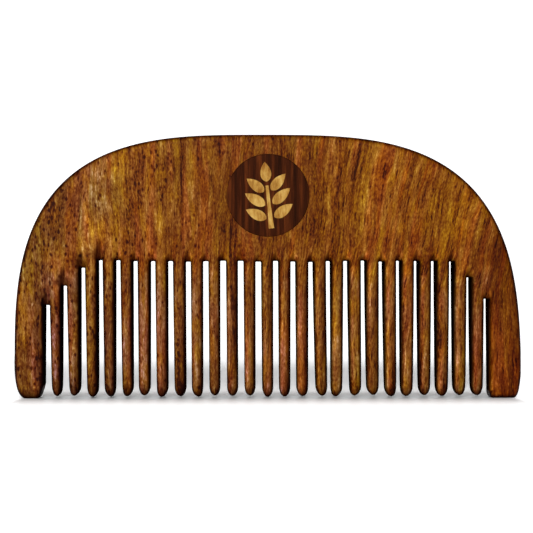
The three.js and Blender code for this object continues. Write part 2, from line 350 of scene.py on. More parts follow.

# %% [markdown]
# ## Wear, oil and painted light
# A blade leaves its walls rough, and oil gathers in the roundings. Painted shade darkens the cuts' walls,
# the undersides of tips and feet, the flutes and the sides of edges that face +X, and a painted highlight
# lightens the sides that face -X, as under a light from the left. Painting that by hand would need an
# image. Instead five numbers between 0 and 1 are worked out for every point from where it is, stored
# with the mesh, and the wood's material reads them.

# %% Where each point is: distance from the wall, side of the tooth, height
ROW_SHARE = np.concatenate([TOWARDS_WALL, np.ones(WALL), TOWARDS_WALL[::-1]])
across_edge = np.hypot(PATH[:, 0] - PATH[:, 2], PATH[:, 1] - PATH[:, 3])
AWAY = across_edge[:, None] * (1 - ROW_SHARE)[None, :]     # mm from the wall, along the face
PX, QZ, GOUGED, SAWN = PATH[:, 0:1], PATH[:, 3:4], PATH[:, 5:6], PATH[:, 6:7]
over_cut = GOUGED > 0
outward = PATH[:, :2] - PATH[:, 2:4]
nearest = np.abs(PATH[:, 2, None] - GAP_X[None, :]).argmin(1)
# 1 where an edge faces +X and -1 where it faces -X; over a cut, by the side of its middle
FACES = np.where(PATH[:, 5] > 0, np.clip((GAP_X[nearest] - PATH[:, 2]) / 0.8, -1, 1),
                 outward[:, 0] / np.maximum(np.hypot(outward[:, 0], outward[:, 1]), 1e-9))[:, None]
DOWN = np.clip((ROOT - QZ) / 14, 0, 1)                     # 0 at the root line, 1 from 14 mm below
FEET_LINE = np.interp(PATH[:, 0], [-52, -50, 49, 51], [-0.1, 0.3, 0.3, -0.9])
ABOVE_FEET = GRID[:, :, 2] - FEET_LINE[:, None]
print("furthest from a wall", AWAY.max().round(2), "mm")

# %% Rough sawn walls, darkened near black by painted shade, round the edge by less than a millimetre, and painted shade on the undersides of tips and feet
# painted shade reaches less far onto -X edges, which face the light, lower down the teeth, and less far
# over flutes
wall_shade_reach = np.where(FACES < 0, 0.72 - 0.28 * DOWN, 0.72) - 0.30 * np.clip(GOUGED / 0.2, 0, 1)
ROUGH_AND_SHADED = SAWN * np.clip((wall_shade_reach - AWAY) / (0.8 * wall_shade_reach), 0, 1) ** 1.1
from_front = np.clip(1 - (GRID[:, :, 1] + HALF) / 4.0, 0, 0.65)
ROUGH_AND_SHADED *= 1 - np.where(FACES < -0.5, DOWN * from_front, 0)  # -X walls face the light, so near the front they get less painted shade
ROUGH_AND_SHADED = np.maximum(ROUGH_AND_SHADED, np.clip(1 - ABOVE_FEET / 1.5, 0, 1) ** 1.3)
print("rough share", (ROUGH_AND_SHADED > 0.5).mean().round(2))

# %% Oiled edges, darkened further by painted shade on the side away from the light, and painted highlights
least = np.interp(PX, [-30, -5], [0.8, 0.1])               # the left half is darkened on both sides; elsewhere -X edges, facing the light, get less painted shade
OILED_AND_SHADED = np.clip(1 - AWAY / 1.1, 0, 1) ** 1.5 * np.where(SAWN > 0, np.clip(0.6 + FACES, least, 1), 1)
# painted highlight: a pale, less saturated streak on the -X side of each tooth and on the right flank of
# each flute, as from a light on the left
right_of_flute = np.clip(1 - np.abs(PATH[:, 2] - GAP_X[nearest] - 0.65) / 0.6, 0, 1)[:, None] ** 0.5
on_flute = right_of_flute * np.clip(ROW_SHARE / 0.15, 0, 1) * np.clip((0.8 - ROW_SHARE) / 0.25, 0, 1)
on_tooth = np.interp(PX, [-34, -8, 12], [0.05, 0.7, 1]) * np.clip((AWAY - 0.15) / 0.3, 0, 1)
on_tooth = on_tooth * np.clip((1.2 - AWAY) / 0.55, 0, 1)
HIGHLIGHT_MASK = SAWN * np.clip(-FACES, 0, 1) * np.where(over_cut, on_flute, on_tooth)
print("rubbed share", (HIGHLIGHT_MASK > 0.5).mean().round(2))

# %% Painted shade on edges that face +X, away from the light, a painted line of shade along the rim's roundings, and painted shade in the flutes
deep_flute = (PATH[:, 1:2] < ROOT + 1) * (nearest < 4)[:, None]
side_shade_reach = np.where(over_cut & (GOUGED > 0.4), 1.35 + 3.2 * deep_flute, 1.35)
side_shade_amount = np.clip(FACES + 0.4 * (side_shade_reach > 2), np.interp(PX, [-30, -12], [0.45, 0]), 1)
rim_shade_line = np.clip(0.15 + 1.3 * np.abs(FACES), 0, 0.95) * np.clip((0.85 - AWAY) / 0.4, 0, 1)
SIDE_SHADE_MASK = np.where(SAWN > 0, side_shade_amount * np.clip(1 - AWAY / side_shade_reach, 0, 1) ** 0.9, rim_shade_line)
# the outer wall of the rim is plain wood: its oil and painted shade lie only on the two roundings
on_wall = (np.arange(M) > ROUND - 1) * (np.arange(M) < ROUND + WALL)
plain = (SAWN == 0) * on_wall * np.clip(ABOVE_FEET / 3, 0, 1)
OILED_AND_SHADED, SIDE_SHADE_MASK = OILED_AND_SHADED * (1 - 0.7 * plain), SIDE_SHADE_MASK * (1 - 0.85 * plain)
# painted shade in the flute hollows
FLUTE_SHADE_MASK = GOUGED * np.clip(ROW_SHARE[None, :] / 0.6, 0, 1) ** 0.8
# oil, rough walls, painted shade and a painted highlight, under the names the material reads
WEAR_AND_LIGHT = {"sawn_and_shaded": ROUGH_AND_SHADED, "oil_and_shade": OILED_AND_SHADED, "gouge_and_shade": FLUTE_SHADE_MASK, "painted_highlight": HIGHLIGHT_MASK, "painted_side_shade": SIDE_SHADE_MASK}
print("burnt share", (SIDE_SHADE_MASK > 0.5).mean().round(2))

# %% [markdown]
# ## From points to pieces
# The real board is one piece, but the frame counts each tooth as a node, so each gets a mesh. If
# every mesh had its own points and normals, a seam would show as a line across the wood. So all
# pieces index one list of points, and take their normals from one list too.

# %% The points of the board, and of the round recess for the roundel
SEAT_POINTS, SEAT_DEPTH = 96, 1.45
SEAT_R = DISC_R + 0.05
SEAT_ANGLES = np.linspace(0, 2 * math.pi, SEAT_POINTS, endpoint=False)
seat = np.stack([DISC_X + SEAT_R * np.cos(SEAT_ANGLES), np.full(SEAT_POINTS, -HALF),
                 DISC_Z + SEAT_R * np.sin(SEAT_ANGLES)], -1)
seat_floor = seat + np.array([0, SEAT_DEPTH, 0])
# the recess's rim in the face, its wall's top, its wall's foot and its floor, each with own normals
POINTS = np.concatenate([GRID.reshape(-1, 3), seat, seat, seat_floor, seat_floor])
SEAT = N * M + SEAT_POINTS * np.arange(4)
print("points", len(POINTS))

# %% Faces between rings of points


def fill(ring, hole=None):
    """Triangles inside a closed ring of points, less those inside the hole."""
    ids = np.concatenate([ring] + ([hole] if hole is not None else []))
    flat = [Vector(p) for p in POINTS[ids][:, [0, 2]]]
    edges = [(i, (i + 1) % len(ring)) for i in range(len(ring))]
    if hole is not None:
        edges += [(len(ring) + i, len(ring) + (i + 1) % len(hole)) for i in range(len(hole))]
    out = delaunay_2d_cdt(flat, edges, [], 1, 1e-7)
    verts, triangles = np.array([v[:] for v in out[0]]), np.array(out[2])
    first_input = np.array([ids[origin[0]] for origin in out[3]])
    if hole is not None:
        centre = verts[triangles].mean(1)
        triangles = triangles[np.hypot(centre[:, 0] - DISC_X, centre[:, 1] - DISC_Z) > SEAT_R * 0.999]
    return first_input[triangles]


def strip(ids):
    """Quads of the carried profile between neighbouring path points."""
    i, j = np.array(ids)[:-1, None], np.arange(M - 1)[None, :]
    k = np.array(ids)[1:, None]
    return np.stack([i * M + j, i * M + j + 1, k * M + j + 1, k * M + j], -1).reshape(-1, 4)


starts = np.cumsum([0] + [len(path) for _, path in segments])
owned = {}
for (name, _), first, last in zip(segments, starts[:-1], starts[1:]):
    owned.setdefault(name, []).append(np.arange(first, last))
print("stretches of path in the spine", len(owned["spine"]))

# %% Quads, flat faces and seam caps of each piece
pieces = {}
for name, stretches in owned.items():
    # the spine's own rows stop short of the seams, so a neighbour's end row closes them
    if name == "spine":
        stretches = [np.concatenate([[(s[0] - 1) % N], s, [(s[-1] + 1) % N]]) for s in stretches]
    outline = np.concatenate(stretches)
    front = fill(outline * M, SEAT[0] + np.arange(SEAT_POINTS) if name == "spine" else None)
    back = fill(outline * M + M - 1)[:, ::-1]
    caps = [np.concatenate([a[-1] * M + np.arange(M), b[0] * M + np.arange(M)[::-1]])
            for a, b in zip(stretches, stretches[1:] + stretches[:1])]
    pieces[name] = (np.concatenate([strip(s) for s in stretches]), [front, back], caps)
print({name: len(pieces[name][0]) for name in ("spine", "tooth_01", "guard_tooth_left")})

# %% Shared normals: each point's is the sum of its faces' normals, weighted by their size


def face_normals(faces):
    """The cross product of a quad's diagonals, or of a triangle's sides."""
    p = POINTS[faces]
    if faces.shape[1] == 4:
        return np.cross(p[:, 2] - p[:, 0], p[:, -1] - p[:, 1])
    return np.cross(p[:, 1] - p[:, 0], p[:, 2] - p[:, 0])


NORMALS = np.zeros_like(POINTS)
for quads, (front, back), _ in pieces.values():
    for faces in (quads, front, back):
        normals = face_normals(faces)
        for corner in range(faces.shape[1]):
            np.add.at(NORMALS, faces[:, corner], normals)
# the rounding starts tangent to the face, which leans with the taper, and more at a thin tooth's tip
face_points = np.arange(N) * M
lean = (THICK - FOOT_THICK) / 2 / ROOT * np.clip((ROOT + 2 - PATH[:, 3]) / 4, 0, 1)
tangent = np.column_stack([0 * lean, -1 + 0 * lean, -lean])
size = np.linalg.norm(NORMALS[face_points], axis=1, keepdims=True)
steep = NORMALS[face_points] / np.maximum(size, 1e-12) * [0.3, 1, 1]
near_tip = PATH[:, 7:8] < half_at(PATH[:, 3:4]) - 1e-6
tangent = np.where(near_tip, steep, tangent)
NORMALS[face_points] = tangent
NORMALS[face_points + M - 1] = tangent * [1, -1, 1]
NORMALS[SEAT[0]:SEAT[1]] = (0, -1, 0)
NORMALS /= np.maximum(np.linalg.norm(NORMALS, axis=1, keepdims=True), 1e-12)
print("normals", NORMALS.shape)

# %% One mesh for each piece of the board


def new_object(name, mesh):
    """An object at the origin, so that its place is all in its mesh."""
    ob = bpy.data.objects.new(name, mesh)
    bpy.context.scene.collection.objects.link(ob)
    return ob


def smooth(mesh):
    """Shades every face from its corners' normals."""
    mesh.polygons.foreach_set("use_smooth", np.ones(len(mesh.polygons), bool))


def recess():
    """The recess's wall, a quad for each step round it, and its floor, with their corner normals."""
    i = np.arange(SEAT_POINTS)
    k = (i + 1) % SEAT_POINTS
    wall = np.stack([SEAT[1] + i, SEAT[2] + i, SEAT[2] + k, SEAT[1] + k], 1)
    ray = -np.stack([np.cos(SEAT_ANGLES), 0 * SEAT_ANGLES, np.sin(SEAT_ANGLES)], 1)
    wall_normals = np.stack([ray[i], ray[i], ray[k], ray[k]], 1).reshape(-1, 3)
    return [wall, np.array([SEAT[3] + i])], [wall_normals, np.tile([0, -1.0, 0], (SEAT_POINTS, 1))]


def board_piece(name, quads, flats, caps):
    """One piece as a mesh in metres. A seam cap's corners take a flat normal, down on the spine
    and up on a tooth; every other corner takes its point's shared normal."""
    groups = [quads] + flats + [np.array([cap]) for cap in caps]
    normals = [NORMALS[group].reshape(-1, 3) for group in [quads] + flats]
    normals += [np.tile([0, 0, -1.0 if name == "spine" else 1.0], (len(cap), 1)) for cap in caps]
    if name == "spine":
        faces, corner_normals = recess()
        groups, normals = groups + faces, normals + corner_normals
    used, flat = np.unique(np.concatenate([group.ravel() for group in groups]), return_inverse=True)
    ends = np.cumsum([group.size for group in groups])[:-1]
    faces = []
    for part, group in zip(np.split(flat, ends), groups):
        faces += part.reshape(group.shape).tolist()
    mesh = bpy.data.meshes.new("wood_" + name)
    mesh.from_pydata(POINTS[used] / 1000, [], faces)
    for key, values in WEAR_AND_LIGHT.items():
        padded = np.concatenate([values.ravel(), np.zeros(4 * SEAT_POINTS)])
        layer = mesh.attributes.new(key, "FLOAT", "POINT")
        layer.data.foreach_set("value", padded[used].astype(np.float32))
    smooth(mesh)
    mesh.normals_split_custom_set(np.concatenate(normals).tolist())
    return new_object("wood_" + name, mesh)


BOARD = {name: board_piece(name, *parts) for name, parts in pieces.items()}
print(len(BOARD), "board pieces,", sum(len(ob.data.polygons) for ob in BOARD.values()), "faces")

# %% [markdown]
# ## The roundel and its sprig
# The roundel is turned from a dark wood and glued into the recess, flush with the face. A cylinder
# with a bevel would do, but a turned profile keeps its eased edge as fine as a real one. The pale
# leaves are sawn veneer let into it: slabs 0.8 mm thick with a hair's breadth of rounding.

# %% A dark disc with an eased edge
FACE = -HALF
ROUNDEL_DEPTH, EASED = 1.45, 0.12


def disc_mesh(radius, depth, ease, around=96):
    """A turned profile, face, quarter-round edge, wall and back, carried round a circle."""
    turn = np.linspace(0, math.pi / 2, 5)[1:]
    profile = [(0, 0)] + [(r, 0) for r in np.linspace(radius * 0.25, radius - ease, 6)]
    profile += [(radius - ease + ease * math.sin(a), ease - ease * math.cos(a)) for a in turn]
    profile = np.array(profile + [(radius, depth), (0, depth)])
    a = np.linspace(0, 2 * math.pi, around, endpoint=False)
    x = DISC_X + profile[:, None, 0] * np.cos(a)
    z = DISC_Z + profile[:, None, 0] * np.sin(a)
    y = np.broadcast_to(FACE + profile[:, None, 1], x.shape)
    i, j = np.arange(len(profile) - 1)[:, None], np.arange(around)[None, :]
    k = (j + 1) % around
    quads = np.stack([i * around + j, i * around + k, (i + 1) * around + k, (i + 1) * around + j], -1)
    mesh = bpy.data.meshes.new("roundel")
    mesh.from_pydata(np.stack([x, y, z], -1).reshape(-1, 3) / 1000, [], quads.reshape(-1, 4).tolist())
    mesh.validate()
    smooth(mesh)
    return mesh


roundel = new_object("roundel_disc", disc_mesh(DISC_R, ROUNDEL_DEPTH, EASED))
print("roundel", len(roundel.data.polygons), "faces")

# %% Outlines of the leaves and the stalk
TILT = math.radians(6)
STALK_HALF = 0.42


def turned(points, angle):
    """A plane turn: each point times the matrix of the angle's cosine and sine."""
    c, s = math.cos(angle), math.sin(angle)
    return points @ np.array([[c, s], [-s, c]])


def place(points, turn=0.0, base=(0, 0)):
    """Turn an outline, move it to its base on the sprig, tilt the sprig and move to the roundel."""
    return turned(turned(points, turn) + np.array(base), TILT) + np.array([DISC_X, DISC_Z])


def leaf_outline(length, width, n=20):
    """One Bezier side from base to point, and its mirror image back."""
    side = bezier([(0, 0), (width * 0.45, length * 0.08), (width * 0.68, length * 0.52), (0, length)], n)
    return np.concatenate([side, (side * [-1, 1])[:-1][::-1], [[0, 0]]])


def stalk_outline(w=STALK_HALF):
    """One Bezier side, widest at the foot, and its mirror image back."""
    side = bezier([(w * 1.5, -7.6), (w * 1.1, -4), (w * 0.9, -1), (w * 0.8, 2.3)], 12, False)
    return np.concatenate([side, (side * [-1, 1])[::-1]])


print("leaf outline", leaf_outline(5, 3).shape)

# %% The pale pieces
VENEER, VENEER_EASE, PROUD = 0.8, 0.07, 0.015


def inlay_mesh(name, outline):
    """An outline as a thin slab: the face shrunk by the easing, a rounded edge, and a wall."""
    centre = outline.mean(0)
    away = outline - centre
    shrink = 1 - VENEER_EASE / np.maximum(np.linalg.norm(away, axis=1, keepdims=True), 0.4)
    rings = [centre + away * shrink, centre + away * (1 + shrink) / 2, outline, outline]
    ys = [FACE - PROUD, FACE - PROUD + 0.02, FACE + VENEER_EASE, FACE + VENEER]
    n = len(outline)
    verts = np.concatenate([np.column_stack([r[:, 0], np.full(n, y), r[:, 1]]) for r, y in zip(rings, ys)])
    i, k = np.arange(n), (np.arange(n) + 1) % n
    walls = [np.stack([b * n + i, (b + 1) * n + i, (b + 1) * n + k, b * n + k], 1) for b in range(3)]
    faces = np.concatenate(walls).tolist() + [i.tolist(), (3 * n + i[::-1]).tolist()]
    mesh = bpy.data.meshes.new(name)
    mesh.from_pydata(verts / 1000, [], faces)
    return new_object("inlay_" + name, mesh)


# length, width, turn in degrees from upright, and base on the stalk
SPRIG = {
    "leaf_top": (4.6, 3.0, 0, (0, 3.1)),
    "leaf_left_1": (5.2, 2.9, 60, (-0.9, -5.3)), "leaf_right_1": (5.2, 2.9, -60, (0.9, -5.1)),
    "leaf_left_2": (5.4, 2.9, 54, (-0.85, -2.2)), "leaf_right_2": (5.4, 2.9, -54, (0.85, -2.0)),
    "leaf_left_3": (5.0, 2.8, 47, (-0.8, 0.9)), "leaf_right_3": (5.0, 2.8, -47, (0.8, 1.1)),
}
INLAYS = {"stalk": inlay_mesh("stalk", place(stalk_outline()))}
for name, (length, width, turn, base) in SPRIG.items():
    INLAYS[name] = inlay_mesh(name, place(leaf_outline(length, width), math.radians(turn), base))
print(len(INLAYS), "inlays")

# %% [markdown]
# ## Materials
# Three woods. A wood could be an image wrapped on the faces, but then the end grain, the walls of
# the cuts and the back would not match it. Here each is a pattern in space, as real wood is: every
# piece reads its own place in the board, so the figure runs on from the spine into the teeth.

# %% One function for colours and one for nodes
SOFT = {"interpolation_type": "SMOOTHSTEP"}          # a MapRange that starts and ends gently
TIMES, PLUS, MINUS, OVER = ({"operation": word} for word in ("MULTIPLY", "ADD", "SUBTRACT", "DIVIDE"))
HIGHER, UNSIGNED, ROOT_OF = ({"operation": word} for word in ("MAXIMUM", "ABSOLUTE", "SQRT"))
BLENDED = {"data_type": "RGBA"}
TINTED = {"data_type": "RGBA", "blend_type": "MULTIPLY"}


def linear(hexcode):
    """An sRGB hex colour as linear RGBA: v/12.92 up to 0.04045, ((v + 0.055)/1.055)^2.4 above."""
    s = [int(hexcode[i:i + 2], 16) / 255 for i in (1, 3, 5)]
    return tuple(v / 12.92 if v <= 0.04045 else ((v + 0.055) / 1.055) ** 2.4 for v in s) + (1.0,)


def node(tree, kind, options=None, *values, **named):
    """Adds a shader node and gives back its first output. Options are its settings; values fill its
    live sockets in order and named ones by name, each a number, a colour or another's output."""
    made = tree.nodes.new("ShaderNode" + kind)
    for option, choice in (options or {}).items():
        setattr(made, option, choice)
    live = [socket for socket in made.inputs if socket.enabled]
    for socket, value in list(zip(live, values)) + [(made.inputs[key], v) for key, v in named.items()]:
        if isinstance(value, bpy.types.NodeSocket):
            tree.links.new(value, socket)
        else:
            socket.default_value = value
    return next(socket for socket in made.outputs if socket.enabled)


def material(name):
    """A new material, its node tree, and its shader's sockets."""
    made = bpy.data.materials.new(name)
    made.use_nodes = True
    return made, made.node_tree, made.node_tree.nodes["Principled BSDF"].inputs


print("linear mid grey", round(linear("#808080")[0], 3))

# %% Words of the wood: where the fibre runs, and patterns stretched along it


def fibre_of(tree, lean, wander):
    """Millimetres across the fibre, through the board and along it, and across it with a wander.
    Above z = 25 the fibres lean to +X by the share lean, reached at the right end, and all of them
    wander sideways by that many mm with a slow noise."""
    in_metres = node(tree, "TexCoord").node.outputs["Object"]
    in_mm = node(tree, "VectorMath", {"operation": "SCALE"}, in_metres, 1000.0)
    x, y, z = node(tree, "SeparateXYZ", {}, in_mm).node.outputs
    share = node(tree, "Math", TIMES, node(tree, "MapRange", SOFT, x, -25.0, 50.0), lean)
    above = node(tree, "Math", HIGHER, node(tree, "Math", MINUS, z, 25.0), 0.0)
    x = node(tree, "Math", MINUS, x, node(tree, "Math", TIMES, above, share))
    slow = figure(tree, (x, y, z, x), (9.0, 14.0, 26.0))
    return x, y, z, node(tree, "Math", PLUS, x, swing(tree, slow, wander))


def stretched(tree, fibre, size):
    """The place along the fibre's directions, divided by a size in mm in each: across it, through
    the board and along it."""
    _, y, z, across = fibre
    parts = [node(tree, "Math", OVER, way, mm) for way, mm in zip((across, y, z), size)]
    return node(tree, "CombineXYZ", {}, *parts)


def figure(tree, fibre, size, detail=2.0, rough=0.5):
    """Noise from 0 to 1 whose grains have that size in mm."""
    return node(tree, "TexNoise", {}, stretched(tree, fibre, size), 1.0, detail, rough)


def swing(tree, pattern, amount):
    """A pattern centred on 0: itself less a half, times the amount."""
    return node(tree, "Math", TIMES, node(tree, "Math", MINUS, pattern, 0.5), amount)


def product(tree, *shares):
    """Shares multiplied together, so it is 1 only where all of them are."""
    total = shares[0]
    for share in shares[1:]:
        total = node(tree, "Math", TIMES, total, share)
    return total


def grown(tree, fac, *stops):
    """A colour ramp through hex colours at their places."""
    ramp = node(tree, "ValToRGB", {}, fac)
    elements = ramp.node.color_ramp.elements
    for i, (at, hexcode) in enumerate(stops):
        element = elements[i] if i < 2 else elements.new(at)
        element.position, element.color = at, linear(hexcode)
    return ramp


print("words", [word.__name__ for word in (fibre_of, stretched, figure, swing, product, grown)])

# %% [markdown]
# ## The comb's wood
# Indian rosewood, sawn, sanded and wiped with oil: golden brown with darker streaks a millimetre or
# two wide, and short dark pores. Oil leaves it satin, so it shines little from the front. One
# lightness value is summed from streaks, fibres and pores, and a ramp turns it into colour, so that
# darker wood is also redder. Mixing two brown colours with a noise would leave it flat.

# %% Comb wood: streaks and fibres, in mm across, through and along the fibre
OILED_ROSEWOOD, wood, rosewood = material("oiled_rosewood")
fibre = fibre_of(wood, 0.22, 4.0)
x, y, z, across = fibre
to_right = node(wood, "MapRange", SOFT, x, -22.0, 12.0)
streaky = node(wood, "MapRange", SOFT, x, -34.0, -6.0, 0.80, 1.05)      # the left end is speckled
mottled = node(wood, "MapRange", SOFT, x, -40.0, -20.0, 0.95, 0.55)     # more than streaked
# real fibres are finer than a tenth of a millimetre; these are drawn coarse enough to show
fine = figure(wood, fibre, (0.24, 0.7, 0.8), 2.0, 0.6)
LAYERS = [
    (figure(wood, fibre, (2.4, 6.0, 34.0)), 1.25),
    (figure(wood, fibre, (0.62, 2.5, 7.0), 3.0, 0.55), streaky),
    (figure(wood, fibre, (1.1, 2.0, 2.0)), mottled),
    (figure(wood, fibre, (0.34, 1.5, 5.0), 1.0), 0.65),
    (fine, 1.35),
]
lightness = 0.50
for layer, amount in LAYERS:
    lightness = node(wood, "Math", PLUS, lightness, swing(wood, layer, amount))
print("layers of figure", len(LAYERS))

# %% Comb wood: pores and dark ribbons


def pores(wide, long, reach, keep):
    """Dark dashes, at most one to a cell of wide by long mm: 1 in a cell's middle, 0 from the reach
    outwards, and only in about the share keep of the cells."""
    cells = node(wood, "TexVoronoi", {}, Vector=stretched(wood, fibre, (wide, wide * 1.4, long)),
                 Scale=1.0, Randomness=1.0).node.outputs
    dark = node(wood, "MapRange", SOFT, cells["Distance"], reach, reach * 0.35)
    pick = node(wood, "SeparateColor", {}, cells["Color"])
    return product(wood, dark, node(wood, "MapRange", SOFT, pick, keep, keep - 0.15))


crowd = node(wood, "MapRange", SOFT, figure(wood, fibre, (4.0, 9.0, 9.0)), 0.38, 0.60)
crowd = node(wood, "Math", HIGHER, crowd, node(wood, "MapRange", SOFT, x, -36.0, -46.0))
to_left = node(wood, "Math", MINUS, 1.0, to_right)
short = product(wood, pores(0.95, 1.7, 0.42, 0.95), crowd, to_left)
more_at_right = node(wood, "MapRange", {}, to_right, 0.0, 1.0, 0.25, 0.70)
long = product(wood, pores(0.60, 4.5, 0.40, 0.80), more_at_right)
pore = node(wood, "Math", HIGHER, short, long)
ribbon = node(wood, "MapRange", SOFT, figure(wood, fibre, (1.7, 5.0, 60.0), 1.0), 0.60, 0.74)
oil_and_shade_share, sawn_and_shaded, flute_shade_share, highlight_share, side_shade_share = (
    node(wood, "Attribute", {"attribute_name": key}).node.outputs["Fac"]
    for key in ("oil_and_shade", "sawn_and_shaded", "gouge_and_shade", "painted_highlight", "painted_side_shade"))
# oil and painted shade in the roundings lower the lightness
oil_and_shade_deep = node(wood, "MapRange", SOFT, oil_and_shade_share, 0.1, 1.0)
for dark, amount in ((pore, 0.48), (ribbon, 0.30), (oil_and_shade_deep, 0.30)):
    lightness = node(wood, "Math", MINUS, lightness, product(wood, dark, amount))
colour = grown(wood, lightness, (0.0, "#280A01"), (0.12, "#451901"), (0.27, "#542503"), (0.41, "#603106"),
               (0.50, "#693908"), (0.60, "#72420C"), (0.75, "#7F4F12"), (0.90, "#8E5E1C"), (1.0, "#A0732E"))
print("nodes with pores and the ramp", len(wood.nodes))

# %% [markdown]
# A board is never one hue. Its bands turn pinkish or golden, and each part of the comb comes from
# another depth of the tree. Each stain below is a share from 0 to 1 that says where, and the tint
# that the colour is multiplied by there. Tints above 1 bleach, and tints below 1 deepen.

# %% Comb wood: hue of the bands, clouds and the two ends


def stain(colour, where, tint):
    """The colour times the tint, as far as the share where goes."""
    return node(wood, "Mix", TINTED, where, colour, (*tint, 1.0))


def stain_between(colour, share, first, last):
    """The colour times a tint that goes from first to last with the share."""
    tint = node(wood, "Mix", BLENDED, share, (*first, 1.0), (*last, 1.0))
    return node(wood, "Mix", TINTED, 1.0, colour, tint)


hue = figure(wood, fibre, (2.6, 8.0, 32.0), 2.0, 0.6)
grey = figure(wood, fibre, (2.0, 5.0, 6.0), 3.0, 0.6)
cloudy = node(wood, "MapRange", SOFT, figure(wood, fibre, (5.0, 9.0, 13.0)), 0.40, 0.60)
colour = stain(colour, node(wood, "MapRange", SOFT, hue, 0.50, 0.64, 0.0, 0.8), (1.12, 0.80, 0.95))
colour = stain(colour, node(wood, "MapRange", SOFT, hue, 0.49, 0.36, 0.0, 0.9), (1.02, 1.14, 0.60))
colour = stain_between(colour, node(wood, "MapRange", SOFT, grey, 0.36, 0.62), (1.0, 0.98, 0.50),
                       (1.0, 1.04, 1.75))
colour = stain_between(colour, node(wood, "MapRange", SOFT, x, -38.0, -4.0), (1.36, 1.40, 2.05),
                       (0.98, 0.94, 0.86))
clouds = product(wood, node(wood, "MapRange", SOFT, x, -22.0, -50.0), cloudy, 0.75)
colour = stain(colour, clouds, (0.74, 0.88, 1.15))
print("nodes with the bands' hues", len(wood.nodes))

# %% Comb wood: what each part of the board has of its own


def patch(cx, cz, rx, rz, strength):
    """The strength inside an ellipse round (cx, cz), fading to 0 at twice its radii, with an edge
    made ragged by the fine fibres."""
    ways = [node(wood, "Math", OVER, node(wood, "Math", MINUS, at, c), r)
            for at, c, r in ((across, cx, rx), (z, cz, rz))]
    squares = [node(wood, "Math", TIMES, way, way) for way in ways]
    far = node(wood, "Math", ROOT_OF, node(wood, "Math", PLUS, *squares))
    ragged = node(wood, "Math", PLUS, far, swing(wood, fine, 0.8))
    return product(wood, node(wood, "MapRange", SOFT, ragged, 2.0, 0.5), strength)


from_middle = node(wood, "Math", UNSIGNED, x)
from_crown = node(wood, "Math", UNSIGNED, node(wood, "Math", PLUS, x, 10.0))
PARTS = {
    "both sides, greener": ([(from_middle, 9.0, 17.0)], (1.0, 1.07, 1.0)),
    "crown, deeper": ([(from_crown, 24.0, 12.0), (z, 30.0, 50.0, 0.3, 1.0)], (0.84, 0.84, 0.84)),
    "right half, lighter": ([(x, 4.0, 20.0)], (1.14, 1.14, 1.10)),
    "right end, redder": ([(x, 44.0, 51.0)], (0.76, 0.62, 0.58)),
    "left end, bleached": ([(x, -46.0, -51.0)], (1.12, 1.16, 1.60)),
    "two ends, dark": ([(from_middle, 38.0, 54.0, 0.0, 0.30)], (0.35, 0.30, 0.28)),
    "teeth, redder": ([(z, 33.0, 24.0)], (0.98, 0.93, 1.12)),
    "left teeth, deeper": ([(z, 28.0, 20.0), (x, -12.0, -28.0)], (0.97, 0.90, 0.92)),
    "thin teeth, duller": ([(z, 30.0, 26.0), (from_middle, 51.0, 50.0)], (0.93, 1.06, 1.75)),
    "over the cuts, redder": ([(z, 29.0, 31.5), (z, 40.0, 35.5), (from_middle, 10.0, 22.0, 0.15, 1.0),
                               (x, -42.0, -34.0)], (0.84, 0.74, 0.66)),
    "right foot, deep red": ([(x, 49.5, 51.0), (z, 34.0, 24.0)], (0.84, 0.76, 0.45)),
}
for fades, tint in PARTS.values():
    colour = stain(colour, product(wood, *[node(wood, "MapRange", SOFT, *fade) for fade in fades]), tint)
colour = stain(colour, patch(-49.0, 29.0, 1.8, 3.8, 0.8), (1.5, 1.6, 1.8))
colour = stain(colour, patch(-39.0, 46.5, 4.0, 5.0, 0.6), (0.70, 0.82, 1.25))
colour = stain(colour, patch(40.0, 40.0, 2.6, 5.5, 0.8), (1.12, 1.16, 0.55))
print("parts with a stain of their own", len(PARTS), "and 3 patches")

# %% Comb wood: oil and painted shade on the edges, painted shade in the flutes, on sides facing +X and at the tips, painted highlights on sides facing -X, and near-black sawn walls with painted shade
FLUTE_SHADE_STRENGTH, TIP_SHADE_STRENGTH = 0.9, 0.8                       # how strongly flutes and tips are darkened
uneven = node(wood, "MapRange", {}, fine, 0.2, 0.7, 0.7, 1.3)
flute_shade_mix = node(wood, "MapRange", SOFT, product(wood, flute_shade_share, uneven), 0.1, 0.9)
# breaks up the painted highlight along the teeth
highlight_breaks = node(wood, "MapRange", SOFT, figure(wood, fibre, (3.0, 3.0, 5.0)), 0.35, 0.60, 0.35, 1.0)
# painted shade on the last few millimetres of the teeth and feet: up to 5.2 mm at the left end, 3.2 mm to
# the right, and 2.2 mm less on the guard teeth
dark_up_to = node(wood, "Math", MINUS, node(wood, "MapRange", SOFT, x, -45.0, -10.0, 5.2, 3.2),
                  node(wood, "MapRange", SOFT, from_middle, 50.0, 50.6, 0.0, 2.2))
height = node(wood, "Math", OVER, node(wood, "Math", PLUS, z, swing(wood, fine, 0.8)), dark_up_to)
tip_shade = node(wood, "MapRange", SOFT, height, 1.0, 0.2)
# oil and painted shade in the roundings: darker and redder
colour = stain(colour, node(wood, "MapRange", SOFT, oil_and_shade_share, 0.2, 1.0, 0.0, 0.5), (0.80, 0.62, 0.55))
# painted shade in the flutes, dark red
colour = stain(colour, product(wood, flute_shade_mix, FLUTE_SHADE_STRENGTH), (0.24, 0.11, 0.10))
# painted highlight
colour = stain(colour, product(wood, highlight_share, highlight_breaks), (1.95, 2.05, 3.40))
# painted shade on edges facing away from the light, and along the rim
colour = stain(colour, side_shade_share, (0.30, 0.19, 0.17))
# painted shade at the tips
colour = stain(colour, product(wood, tip_shade, TIP_SHADE_STRENGTH), (0.25, 0.13, 0.12))
